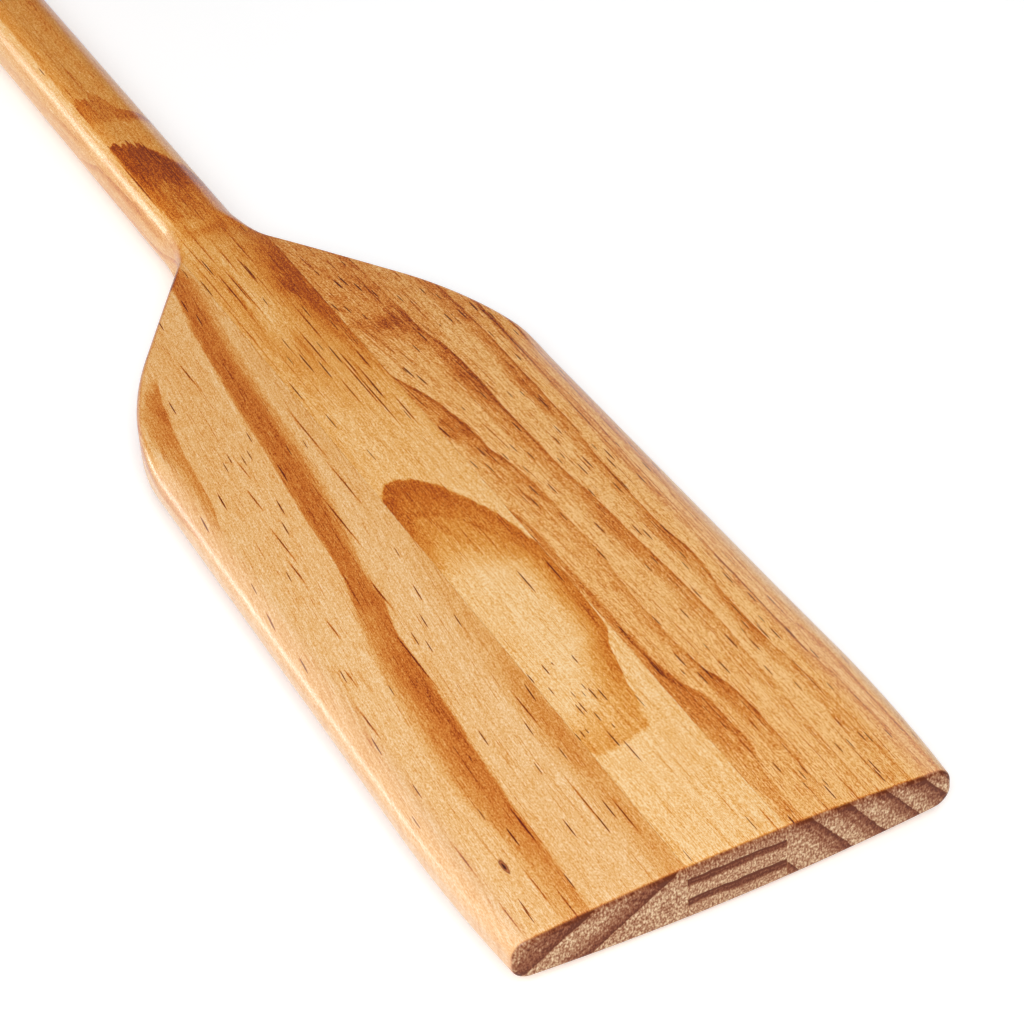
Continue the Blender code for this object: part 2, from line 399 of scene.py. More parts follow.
def spot(tree, x, y, centre, size):
    """Square of the distance from a centre, in half widths and half lengths of a spot."""
    squares = []
    for value, middle, half in zip((x, y), centre, size):
        offset = add(tree, "Math", value, 1.0 / half, -middle / half, operation='MULTIPLY_ADD')
        squares.append(add(tree, "Math", offset, offset, operation='MULTIPLY'))
    return add(tree, "Math", *squares, operation='ADD')


def face_height(x, y):
    """Height of the upper face over the middle at (x, y), all in mm."""
    columns = sections(np.array([y / MM]))
    s = across(columns, np.array([x / MM]))
    return MM * float(face_points(columns, s[:, None])[1][0, 0])


def bell(tree, x, y, centre, size):
    """Soft spot: 1 at its centre, and about a third at its half width or half length."""
    fall = add(tree, "Math", spot(tree, x, y, centre, size), -1.0, operation='MULTIPLY')
    return add(tree, "Math", fall, operation='EXPONENT')


# Late wood across a band: swelling to a hard end, falling from a hard start, soft at both, or
# pale with a dark line near its end
SWELLING = ((0.0, 0.0), (0.10, 0.32), (0.30, 0.58), (0.55, 0.85), (0.80, 1.0), (0.93, 0.95),
            (1.0, 0.0))
FALLING = ((0.0, 0.0), (0.07, 0.80), (0.20, 1.0), (0.60, 0.92), (0.80, 0.50), (1.0, 0.0))
SOFT = ((0.0, 0.0), (0.25, 0.55), (0.50, 0.90), (0.72, 1.0), (0.88, 0.60), (1.0, 0.0))
LINED = ((0.0, 0.0), (0.25, 0.14), (0.55, 0.38), (0.84, 0.52), (0.91, 0.92), (0.96, 0.88),
         (1.0, 0.0))

# Late wood across a ring on the sawn end of a side board
END_RING = ((0.0, 0.0), (0.30, 0.12), (0.52, 0.38), (0.62, 0.26), (0.80, 0.50), (0.95, 0.66),
            (1.0, 0.0))

# Added to a board's seed, so that its patterns don't lie on each other
END_SEED = 2.0
FINGER_SEED = 3.0
HAIR_SEED = 5.0
STREAK_SEED = 7.0
CROWD_SEED = 11.0


def board_place(tree, board):
    """Place on a board in mm from the middle of the tip, and how far it faces along and up.

    The grain's own place follows the fibres, which drift sideways along the board. Where they
    fan, the drift fades from the stave to the outer edge.
    """
    place = add(tree, "Mapping", add(tree, "TexCoord", out="Object"), named={
        "Location": (0.0, -MM * TIP_PLACE, -MM * MID_HEIGHT),
        "Scale": (MM, MM, MM),
    })
    x, y, z = add(tree, "SeparateXYZ", place).node.outputs
    slant = add(tree, "Math", x, -board["fan"], 1.0, operation='MULTIPLY_ADD')
    fibre = add(tree, "Math", along(tree, y, board["drift"]), slant, operation='MULTIPLY')
    fibre = add(tree, "Math", x, fibre, operation='SUBTRACT')
    grain = add(tree, "CombineXYZ", fibre, y, z)
    facing = add(tree, "NewGeometry", out="Normal")
    _, endwise, upright = add(tree, "SeparateXYZ", facing).node.outputs
    endwise = add(tree, "Math", endwise, operation='ABSOLUTE')
    upright = add(tree, "Math", upright, operation='ABSOLUTE')
    return SimpleNamespace(place=place, x=x, y=y, z=z, grain=grain, endwise=endwise,
                           upright=upright)


# Lumps of the rings' slow and quick waver, in mm across, along and through
SLOW_WAVER = (14.0, 70.0, 14.0)
QUICK_WAVER = (2.5, 22.0, 2.5)


def ring_waver(tree, at, board):
    """How far the rings stray from their plain layers, in mm."""
    slow_amount, quick_amount = board["waver"]
    slow = noise(tree, at.grain, SLOW_WAVER, board["seed"])
    quick = noise(tree, at.grain, QUICK_WAVER, board["seed"])
    waver = add(tree, "Math", slow, slow_amount, operation='MULTIPLY')
    return add(tree, "Math", quick, quick_amount, waver, operation='MULTIPLY_ADD')


def side_board_rings(tree, at, board):
    """Late wood on the face and on the end of a side board, whose rings stand steep.

    Each ring is a leaning layer. It is given by the two paths where it meets the upper face,
    by how dark it is along them, and by its shade across. The rings of the end lean alike.
    """
    lean = board["lean"]
    layer = add(tree, "Math", at.z, lean, at.x, operation='MULTIPLY_ADD')
    layer = add(tree, "Math", layer, ring_waver(tree, at, board), operation='ADD')
    face = along(tree, at.y, board["tone"])
    for left, right, darkness, shade in board["bands"]:
        first, last = [along(tree, at.y, [(v, u + lean * face_height(u, v)) for v, u in path])
                       for path in (left, right)]
        width = add(tree, "Math", last, first, operation='SUBTRACT')
        offset = add(tree, "Math", layer, first, operation='SUBTRACT')
        share = add(tree, "Math", offset, width, operation='DIVIDE', use_clamp=True)
        late = add(tree, "ValToRGB", share, stops=shade)
        face = add(tree, "Math", late, along(tree, at.y, darkness), face,
                   operation='MULTIPLY_ADD')
    end = 0.0
    for left, right in board["end_rings"]:
        first = left + lean * face_height(left, 0.0)
        width = right + lean * face_height(right, 0.0) - first
        share = add(tree, "Math", layer, 1.0 / width, -first / width,
                    operation='MULTIPLY_ADD', use_clamp=True)
        late = add(tree, "ValToRGB", share, stops=END_RING)
        end = add(tree, "Math", late, end, operation='MAXIMUM')
    return face, end


# How far to each side the hump of the stave's rings is drawn, in mm
HUMP_REACH = 26.0

# A place along the plain shaft, and the last place across before its side, in mm
SHAFT_Y = 500.0
SHAFT_EDGE = 13.9

# Places across the shaft at which its crown is taken, in mm
SHAFT_PLACES = (-HUMP_REACH, -SHAFT_EDGE, *range(-13, -3), *range(4, 14), SHAFT_EDGE, HUMP_REACH)

# Share of the shaft's own ring pattern, at places along the stave in mm
ON_SHAFT = ((0, 0), (345, 0), (385, 1), (560, 1))

# How quickly the fingers of a ring set in for each mm along, and across from their edge
FINGER_RISE_ALONG = 0.05
FINGER_RISE_ACROSS = 0.3

# Ripple of the rings on the stave's sawn end: lumps in mm, and size as a share of a ring
RIPPLE_SIZES = (8.0, 400.0, 8.0)
RIPPLE = 0.3


def across_stave(tree, x, path):
    """Value that follows the (x, value) points of a path from one hump reach to the other."""
    sideways = add(tree, "Math", x, HUMP_REACH, operation='ADD')
    return along(tree, sideways, [(u + HUMP_REACH, v) for u, v in path])


def shaft_crown(x):
    """How far the shaft's top lies below its middle at x, all in mm."""
    return face_height(0.0, SHAFT_Y) - face_height(min(abs(x), SHAFT_EDGE), SHAFT_Y)


def ring_fall(tree, at, board, on_shaft):
    """How far the stave's rings fall away on both sides of the grain's hump, in mm.

    The shaft has a hump of its own, and its crown is added there.
    """
    from_hump = add(tree, "Math", at.x, along(tree, at.y, board["shift"]), operation='SUBTRACT')
    blade_fall = across_stave(tree, from_hump, board["hump"])
    shaft_fall = across_stave(tree, at.x, board["shaft_hump"])
    fall = add(tree, "Mix", on_shaft, named={NUMBER_A: blade_fall, NUMBER_B: shaft_fall})
    fall = add(tree, "Math", fall, along(tree, at.y, board["steepness"]), operation='MULTIPLY')
    crown = across_stave(tree, at.x, [(u, shaft_crown(u)) for u in SHAFT_PLACES])
    return add(tree, "Math", crown, on_shaft, fall, operation='MULTIPLY_ADD')


def with_fingers(tree, at, place, board, depth):
    """Ring depth with ragged fingers, which set in along the shaft on one side of an edge."""
    start, edge, amount, sizes = board["fingers"]
    there = add(tree, "Math", at.y, FINGER_RISE_ALONG, -FINGER_RISE_ALONG * start,
                operation='MULTIPLY_ADD', use_clamp=True)
    beside = add(tree, "Math", at.x, -FINGER_RISE_ACROSS, FINGER_RISE_ACROSS * edge,
                 operation='MULTIPLY_ADD', use_clamp=True)
    there = add(tree, "Math", there, beside, operation='MULTIPLY')
    there = add(tree, "Math", there, amount, operation='MULTIPLY')
    finger = noise(tree, place, sizes, board["seed"] + FINGER_SEED, 1.0)
    return add(tree, "Math", finger, there, depth, operation='MULTIPLY_ADD')


def stave_rings(tree, at, board):
    """Late wood on the face and the end of the stave, whose rings lie almost level.

    The depth in the rings grows downwards, falls away on both sides of the grain's hump, and
    rises and falls along the board. That draws the arches on the face.
    """
    on_shaft = along(tree, at.y, ON_SHAFT)
    crowned = [(v, depth + face_height(0.0, v)) for v, depth in board["rise"]]
    depth = add(tree, "Math", along(tree, at.y, crowned), at.z, operation='SUBTRACT')
    depth = add(tree, "Math", depth, ring_fall(tree, at, board, on_shaft), operation='SUBTRACT')
    depth = add(tree, "Math", depth, ring_waver(tree, at, board), operation='ADD')
    place = add(tree, "CombineXYZ", at.x, at.y, at.z)
    depth = with_fingers(tree, at, place, board, depth)
    share = add(tree, "Math", depth, board["spacing"], operation='DIVIDE')
    share = add(tree, "Math", share, operation='FRACT')
    late = add(tree, "ValToRGB", share, stops=board["shade"])
    strength = along(tree, at.y, board["darkness"])
    face = add(tree, "Math", late, strength, along(tree, at.y, board["tone"]),
               operation='MULTIPLY_ADD')
    # The left side of the shaft is pale: partly spring wood, partly a painted highlight on its
    # rounding
    left = across_stave(tree, at.x, board["pale_wood_and_sheen"])
    pale = add(tree, "Math", left, on_shaft, operation='MULTIPLY')
    pale = add(tree, "Math", pale, -1.0, 1.0, operation='MULTIPLY_ADD')
    face = add(tree, "Math", face, pale, operation='MULTIPLY')
    ripple = noise(tree, place, RIPPLE_SIZES, board["seed"], 1.0)
    end = add(tree, "Math", ripple, RIPPLE, share, operation='MULTIPLY_ADD')
    return face, add(tree, "ValToRGB", end, stops=board["end_shade"])


# Half width of a single resin canal in mm, and how much a canal darkens the wood
CANAL = 0.22
CANAL_DARKNESS = 1.25


def resin_places(tree, at, board, dark):
    """Darkness with the soft places that resin soaked, and the canals that stand out."""
    marks = [((u, v), (CANAL, half), CANAL_DARKNESS * amount)
             for u, v, half, amount in board["marks"]]
    for centre, size, amount in [*board["blotches"], *marks]:
        dark = add(tree, "Math", bell(tree, at.x, at.y, centre, size), amount, dark,
                   operation='MULTIPLY_ADD')
    return dark


# Hair lines: size in mm, the level of the noise above which they show, and how hard they end
HAIR_SIZES = (0.4, 30.0, 0.4)
HAIR_LEVEL = 0.13
HAIR_HARDNESS = 9.0


def streaked(tree, at, board, dark):
    """Darkness with broad to fine streaks, a fleck, and hair lines of resin.

    The fleck stands for the wood's cells, drawn coarser than they are so that it shows. A hair
    line lies where a fine streak is strongest.
    """
    for amount, sizes in board["streaks"]:
        streak = noise(tree, at.grain, sizes, board["seed"] + STREAK_SEED, 3.0)
        dark = add(tree, "Math", streak, amount, dark, operation='MULTIPLY_ADD')
    hair = noise(tree, at.grain, HAIR_SIZES, board["seed"] + HAIR_SEED, 1.0)
    hair = add(tree, "Math", hair, HAIR_HARDNESS, -HAIR_HARDNESS * HAIR_LEVEL,
               operation='MULTIPLY_ADD', use_clamp=True)
    return add(tree, "Math", hair, board["hairs"], dark, operation='MULTIPLY_ADD')


# Sanding streaks, drawn as painted pale and dark glints near the outer edge: size in mm,
# sideways run for each mm along, and how much they show
SANDING_SIZES = (0.7, 50.0, 8.0)
SANDING_SLANT = 0.17
SANDING_GLINT = 0.65


def sanded(tree, at, board, dark):
    """Darkness with sanding streaks that slant across the grain near the outer edge.

    They are painted glints there, where the edge's highlight falls.
    """
    slope, start = board["sanded"]
    slanted = add(tree, "Math", at.y, -SANDING_SLANT, at.x, operation='MULTIPLY_ADD')
    slanted = add(tree, "CombineXYZ", slanted, at.y, at.z)
    scratch = noise(tree, slanted, SANDING_SIZES, board["seed"])
    outside = add(tree, "Math", at.x, slope, -slope * start, operation='MULTIPLY_ADD',
                  use_clamp=True)
    outside = add(tree, "Math", outside, SANDING_GLINT, operation='MULTIPLY')
    return add(tree, "Math", scratch, outside, dark, operation='MULTIPLY_ADD')


# How far the surface faces up or down where the dashes set in, and where they are full
FACE_FACING = (0.5, 0.8)

# How hard a dash ends, and the lumps in mm in which dashes crowd, and how strongly
DASH_HARDNESS = 2.5
CROWD_SIZES = (9.0, 60.0, 9.0)
CROWD = 2.2


def with_dashes(tree, at, seed, canals, dark):
    """Darkness with resin canals: short dashes along the fibres, on the two faces.

    Stretched cells have a dash at their middle, and a cell keeps it by chance. The chance
    follows a path along the board and changes in lumps.
    """
    wide, long, thick, crowding, limit = canals
    cell = add(tree, "VectorMath", at.grain, (1.0 / wide, 1.0 / long, 0.0), (seed, seed, 0.0),
               operation='MULTIPLY_ADD')
    near = add(tree, "TexVoronoi", cell, named={"Scale": 1.0}, voronoi_dimensions='2D')
    chance = add(tree, "SeparateColor", near.node.outputs["Color"]).node.outputs
    radius = add(tree, "Math", chance[1], thick, thick, operation='MULTIPLY_ADD')
    dash = add(tree, "Math", near, radius, operation='DIVIDE')
    dash = add(tree, "Math", dash, -DASH_HARDNESS, DASH_HARDNESS, operation='MULTIPLY_ADD',
               use_clamp=True)
    crowd = noise(tree, at.grain, CROWD_SIZES, seed + CROWD_SEED, 1.0)
    crowd = add(tree, "Math", crowd, CROWD, along(tree, at.y, crowding),
                operation='MULTIPLY_ADD')
    kept = add(tree, "Math", chance[0], crowd, operation='LESS_THAN')
    dash = add(tree, "Math", dash, kept, operation='MULTIPLY')
    inside = add(tree, "Math", at.x, limit, operation='LESS_THAN')
    on_face = add(tree, "MapRange", at.upright, *FACE_FACING)
    inside = add(tree, "Math", inside, on_face, operation='MULTIPLY')
    dash = add(tree, "Math", dash, inside, operation='MULTIPLY')
    return add(tree, "Math", dash, CANAL_DARKNESS, dark, operation='MULTIPLY_ADD')


# Where the palest and the darkest tone lie, as darkness
PALEST = -0.15
DARKEST = 1.35


def face_tone(tree, dark, tones):
    """Colour of the varnished face for its darkness."""
    reach = DARKEST - PALEST
    share = add(tree, "Math", dark, 1.0 / reach, -PALEST / reach, operation='MULTIPLY_ADD')
    stops = [((place - PALEST) / reach, colour) for place, colour in tones]
    return add(tree, "ValToRGB", share, stops=stops)


# The knot's ragged outline, as a share of its radius, and the lumps of that in mm
KNOT_RAGGED = 0.6
KNOT_RAGGED_SIZES = (0.7, 2.0, 0.7)

# Share of the radius at which the knot has faded out, and how hard it ends
KNOT_END = 1.1
KNOT_HARDNESS = 5.0


def with_knot(tree, at, seed, centre, size, tone):
    """Tone with a knot: a dark core in a reddish ring, drawn out along the grain."""
    ring = add(tree, "Math", spot(tree, at.x, at.y, centre, size), operation='SQRT')
    ragged = noise(tree, at.grain, KNOT_RAGGED_SIZES, seed)
    ring = add(tree, "Math", ragged, KNOT_RAGGED, ring, operation='MULTIPLY_ADD')
    colour = add(tree, "ValToRGB", ring, stops=KNOT_TONES)
    inside = add(tree, "Math", ring, -KNOT_HARDNESS, KNOT_HARDNESS * KNOT_END,
                 operation='MULTIPLY_ADD', use_clamp=True)
    return add(tree, "Mix", named={"Factor": inside, COLOUR_A: tone, COLOUR_B: colour},
               out=MIXED_COLOUR, data_type='RGBA')


# Painted sheen near the rounded outer edge: its tone, and how far the wood goes towards it at
# places along the board in mm
EDGE_SHEEN_TONE = "#f4cfb4"
EDGE_SHEEN_SHARES = ((0.0, 0.26), (235.0, 0.26), (262.0, 0.0), (300.0, 0.0))


def with_painted_edge_sheen(tree, at, board, tone):
    """Tone with a painted sheen that turns it paler and pinker towards the rounded outer edge."""
    slope, start = board["edge_sheen"]
    edge_sheen = add(tree, "Math", at.x, slope, -slope * start, operation='MULTIPLY_ADD',
               use_clamp=True)
    edge_sheen = add(tree, "Math", edge_sheen, along(tree, at.y, EDGE_SHEEN_SHARES), operation='MULTIPLY')
    return add(tree, "Mix", named={"Factor": edge_sheen, COLOUR_A: tone, COLOUR_B: linear(EDGE_SHEEN_TONE)},
               out=MIXED_COLOUR, data_type='RGBA')


# Pores of the sawn end: size in mm, how strong their speckle is, and how much less in late wood
PORE_SIZES = (0.6, 30.0, 0.9)
PORE_SPECKLE = 1.7
PORE_LOSS = 0.65

# Streaks of the sawn end: size in mm, and how much they show
END_STREAK_SIZES = (3.0, 30.0, 0.8)
END_STREAK = 0.5

# How far below the upper face the sawn end is stained, in mm, and how dark
STAIN_DEPTH = 5.0
STAIN_DARKNESS = 0.30

# Fall of the crowned face at the tip in mm, over the square of the mm from its middle
TIP_CROWN = MM / 2 * (TIP_THICKNESS - TIP_EDGE_THICKNESS) / (MM / 2 * TIP_WIDTH) ** 2


def sawn_end_tone(tree, at, board, dark, pores):
    """Colour of the sawn end, from its rings, its pores and its streaks.

    Varnish that ran over the upper arris stains its top.
    """
    soft_wood = add(tree, "Math", dark, -PORE_LOSS, 1.0, operation='MULTIPLY_ADD')
    speckle = add(tree, "Math", pores, soft_wood, operation='MULTIPLY')
    dark = add(tree, "Math", speckle, -PORE_SPECKLE, dark, operation='MULTIPLY_ADD')
    streak = noise(tree, at.place, END_STREAK_SIZES, board["seed"] + END_SEED)
    dark = add(tree, "Math", streak, END_STREAK, dark, operation='MULTIPLY_ADD')
    crown = add(tree, "Math", at.x, at.x, operation='MULTIPLY')
    level = add(tree, "Math", crown, TIP_CROWN, at.z, operation='MULTIPLY_ADD')
    top = face_height(0.0, 0.0)
    stain = add(tree, "MapRange", level, top - STAIN_DEPTH, top)
    stain = add(tree, "Math", stain, STAIN_DARKNESS, operation='MULTIPLY')
    dark = add(tree, "Math", dark, stain, operation='ADD')
    dark = add(tree, "Math", dark, board["end_tone"], operation='ADD')
    return add(tree, "ValToRGB", dark, stops=END_TONES)


# Fibres under the varnish: size in mm, and their height and that of the end's pores in mm
FIBRE_SIZES = (0.6, 30.0, 0.6)
FIBRE_HEIGHT = 0.016
PORE_HEIGHT = 0.16
BUMP_STRENGTH = 0.6


def fine_relief(tree, at, seed, pores, endwise):
    """Bump of the fine fibres, and of the pores where the surface is the sawn end."""
    height = noise(tree, at.grain, FIBRE_SIZES, seed)
    height = add(tree, "Math", height, FIBRE_HEIGHT, operation='MULTIPLY')
    pitted = add(tree, "Math", pores, endwise, operation='MULTIPLY')
    height = add(tree, "Math", pitted, PORE_HEIGHT, height, operation='MULTIPLY_ADD')
    return add(tree, "Bump", named={
        "Height": height,
        "Strength": BUMP_STRENGTH,
        "Distance": 1.0 / MM,
    })


# How far the surface faces along the grain where the arris starts to soak up varnish, and where
# it is full, and how much that darkens it
SOAKED_FACING = (0.05, 0.5)
SOAK_DARKNESS = 0.45

# The same for the sawn end's own tone
END_FACING = (0.2, 0.75)

# Coat of varnish on the face, and what is left of it on the end, which drinks it
FACE_GLOSS = 0.8
END_GLOSS = 0.2


def varnished_pine(name, board):
    """Planed and sanded pine under clear gloss varnish, with its rings as layers in space.

    Pine gives the eye pale spring wood that darkens into orange-brown late wood and stops at a
    harder edge, short dark resin canals along the grain, and a browner, speckled sawn end.
    """
    material = bpy.data.materials.new(name)
    tree = empty_tree(material)
    seed = board["seed"]
    at = board_place(tree, board)
    rings = stave_rings if "hump" in board else side_board_rings
    dark, end_dark = rings(tree, at, board)

    # The face. The arris of the sawn tip is darker, because it soaks up varnish.
    dark = resin_places(tree, at, board, dark)
    dark = streaked(tree, at, board, dark)
    # Sanding streaks near the outer edge, painted as glints of its highlight
    dark = sanded(tree, at, board, dark)
    soaked = add(tree, "MapRange", at.endwise, *SOAKED_FACING)
    dark = add(tree, "Math", soaked, SOAK_DARKNESS, dark, operation='MULTIPLY_ADD')
    for canals in board["canals"]:
        dark = with_dashes(tree, at, seed, canals, dark)
    tone = face_tone(tree, dark, board["tones"])
    for centre, size in board["knots"]:
        tone = with_knot(tree, at, seed, centre, size, tone)
    # Painted sheen: the face turns paler and pinker towards the rounded outer edge
    tone = with_painted_edge_sheen(tree, at, board, tone)

    # The sawn end, where the surface faces along the grain
    endwise = add(tree, "MapRange", at.endwise, *END_FACING, interpolation_type='SMOOTHSTEP')
    pores = noise(tree, at.place, PORE_SIZES, seed, 1.0)
    end_tone = sawn_end_tone(tree, at, board, end_dark, pores)
    tone = add(tree, "Mix", named={"Factor": endwise, COLOUR_A: tone, COLOUR_B: end_tone},
               out=MIXED_COLOUR, data_type='RGBA')
    gloss = add(tree, "Math", endwise, END_GLOSS - FACE_GLOSS, FACE_GLOSS,
                operation='MULTIPLY_ADD')

    shader = add(tree, "BsdfPrincipled", named={
        "Base Color": tone,
        "Roughness": 0.45,
        "IOR": 1.45,
        "Specular IOR Level": 0.1,
        "Coat Weight": gloss,
        "Coat Roughness": 0.25,
        "Coat IOR": 1.5,
        "Normal": fine_relief(tree, at, seed, pores, endwise),
    })
    add(tree, "OutputMaterial", shader)
    return material


# Colours of the varnished face from spring wood to late wood, for each kind of board
LEFT_TONES = (
    (PALEST, "#fcd9ab"), (0.00, "#f6c991"), (0.15, "#eeb975"), (0.30, "#e7a85c"),
    (0.45, "#dd9341"), (0.60, "#d4802e"), (0.75, "#cb6d1c"), (0.90, "#b45300"),
    (1.00, "#9c3f00"), (DARKEST, "#661a00"),
)
RIGHT_TONES = (
    (PALEST, "#fccd8e"), (0.00, "#f2b96e"), (0.20, "#e7a250"), (0.40, "#db8834"),
    (0.60, "#cf6f1a"), (0.80, "#b45100"), (1.00, "#8c3400"), (DARKEST, "#561200"),
)
STAVE_TONES = (
    (PALEST, "#ffdda9"), (0.00, "#facd90"), (0.15, "#f3b96d"), (0.30, "#e9a54e"),
    (0.45, "#e09237"), (0.60, "#d67c1e"), (0.75, "#c45d00"), (0.88, "#ac4900"),
    (1.00, "#943a00"), (DARKEST, "#5e1600"),
)

# The sawn end soaks up varnish and turns a mauve brown, darker in late wood
END_TONES = (
    (0.00, "#e3c8a4"), (0.18, "#cba680"), (0.38, "#b08261"), (0.60, "#925c3d"), (0.85, "#7c4026"),
    (1.00, "#602a12"),
)

KNOT_TONES = (
    (0.00, "#3d160b"), (0.34, "#4a1d0e"), (0.46, "#9a5128"), (0.62, "#b96a38"), (0.80, "#8b4520"),
    (1.00, "#d99a5c"),
)

# Streaks: (how much they darken, sizes in mm across, along and through)
CALM_STREAKS = (
    (0.22, (12.0, 240.0, 12.0)), (0.24, (2.6, 130.0, 2.6)), (0.30, (0.8, 45.0, 0.8)),
    (0.8, (0.3, 6.0, 0.3)), (1.4, (0.3, 0.9, 0.3)),
)
BUSY_STREAKS = (
    (0.28, (12.0, 200.0, 12.0)), (0.30, (2.6, 90.0, 2.6)), (0.5, (0.8, 36.0, 0.8)),
    (1.4, (0.3, 6.0, 0.3)), (2.0, (0.3, 0.9, 0.3)),
)

# The grain of a board, with every place in mm from the middle of the tip:
# drift: path of the fibres' sideways drift, and fan: how it fades for each mm across
# lean: how far a ring runs sideways for each mm of depth, and end_rings: its places on the end
# waver: slow and quick stray of the rings in mm
# bands: left path, right path, darkness along and shade across of each band of late wood
# tone, end_tone: darkness of the plain face and end; hairs: how dark the hair lines are
# blotches: (place, half width and half length, darkness)
# marks: single canals as (x, y, half length, darkness)
# sanded, worn: growth for each mm across and the x where it starts, of the sanding streaks
#   with their painted glints and of the painted sheen near the outer edge
# canals: cell width and length, a dash's thickness as a share of a cell, its chance along the
#   board, and the highest x
# knots: (place, half width and half length)

# The left blade board: a broad band that drifts in from the tip to the neck, pale on each side
LEFT_BOARD = {
    "seed": 1.3,
    "tones": LEFT_TONES,
    "drift": [(0, 0), (60, 1), (120, 5), (180, 11), (240, 16.5), (300, 22), (340, 26)],
    "fan": 0.0,
    "lean": -1.7,
    "end_rings": [(-66.0, -44.0), (-34.0, -17.8)],
    "waver": (1.2, 1.4),
    "bands": [
        ([(0, -55.5), (30, -54.5), (50, -56.0), (70, -57.0), (90, -56.0), (110, -54.0),
          (130, -51.0), (150, -47.0), (170, -44.0), (335, -30.0)],
         [(0, -45.5), (30, -45.0), (50, -44.0), (70, -43.0), (90, -41.3), (110, -40.3),
          (130, -39.5), (150, -36.0), (170, -34.0), (335, -20.0)],
         [(0, 0.26), (20, 0.38), (40, 0.50), (60, 0.55), (85, 0.60), (125, 0.58), (150, 0.36),
          (165, 0.0), (335, 0.0)], SWELLING),
        ([(0, -56.0), (130, -48.5), (150, -45.5), (170, -42.3), (190, -40.7), (210, -39.2),
          (240, -36.4), (260, -34.9), (280, -32.9), (300, -30.9), (320, -28.1), (335, -25.9)],
         [(0, -50.0), (130, -38.5), (145, -35.0), (160, -34.8), (180, -31.2), (200, -28.0),
          (220, -26.0), (240, -24.4), (260, -22.6), (280, -21.0), (300, -19.6), (335, -16.0)],
         [(0, 0.0), (130, 0.0), (150, 0.36), (165, 0.60), (240, 0.60), (335, 0.54)], FALLING),
        ([(0, -27.0), (60, -27.0), (100, -25.5), (335, -22.0)],
         [(0, -14.0), (60, -14.5), (100, -13.5), (335, -13.0)],
         [(0, 0.24), (40, 0.27), (70, 0.37), (110, 0.24), (165, 0.12), (220, 0.06),
          (335, 0.06)], SOFT),
        ([(0, -72.0), (200, -70.0), (220, -67.5), (240, -66.5), (255, -65.5), (270, -63.5),
          (280, -61.0), (290, -57.0), (335, -50.0)],
         [(0, -68.0), (200, -65.0), (220, -61.5), (240, -59.3), (255, -57.5), (270, -54.7),
          (280, -52.7), (290, -50.0), (335, -40.0)],
         [(0, 0.0), (198, 0.0), (215, 0.30), (245, 0.34), (265, 0.46), (285, 0.44), (297, 0.0),
          (335, 0.0)], SWELLING),
    ],
    "tone": [(0, 0.10), (150, 0.12), (200, 0.16), (260, 0.18), (340, 0.20)],
    "end_tone": 0.36,
    "streaks": CALM_STREAKS,
    "hairs": 0.3,
    "blotches": [((-45.0, 102.0), (2.5, 18.0), 0.14), ((-42.0, 30.0), (4.0, 25.0), 0.05),
                 ((-21.0, 68.0), (2.2, 22.0), 0.12), ((-55.5, 272.0), (2.0, 8.0), 0.16)],
    "marks": [
        (-65.5, 11.0, 6.0, 0.85), (-66.0, 37.0, 6.0, 0.85), (-46.0, 40.0, 7.0, 1.0),
        (-27.0, 38.0, 8.0, 1.0), (-20.0, 27.0, 7.0, 0.85), (-23.0, 82.0, 7.0, 0.85),
        (-64.0, 102.0, 6.0, 1.0), (-60.0, 123.0, 4.0, 0.85), (-55.0, 145.0, 5.0, 0.85),
        (-53.0, 175.0, 5.0, 0.85), (-51.0, 189.0, 8.0, 1.0), (-31.0, 188.0, 12.0, 1.0),
        (-22.0, 205.0, 10.0, 1.0), (-21.0, 235.0, 12.0, 0.85), (-49.3, 214.0, 5.0, 1.0),
        (-46.0, 230.0, 5.0, 0.7), (-40.5, 287.0, 6.0, 1.0), (-40.5, 118.0, 13.0, 0.85),
        (-36.0, 150.0, 6.0, 0.85), (-50.0, 5.0, 7.0, 0.7), (-54.0, 16.0, 8.0, 0.7),
    ],
    # Sanding streaks with painted glints near the left edge
    "sanded": (-0.12, -57.0),
    # Painted sheen near the rounded left edge
    "edge_sheen": (-0.2, -63.0),
    "canals": [(3.0, 60.0, 0.046, [(0, 0.68), (90, 0.62), (140, 0.5), (340, 0.5)], 0.0)],
    "knots": [((-58.0, 28.5), (0.85, 3.6))],
}

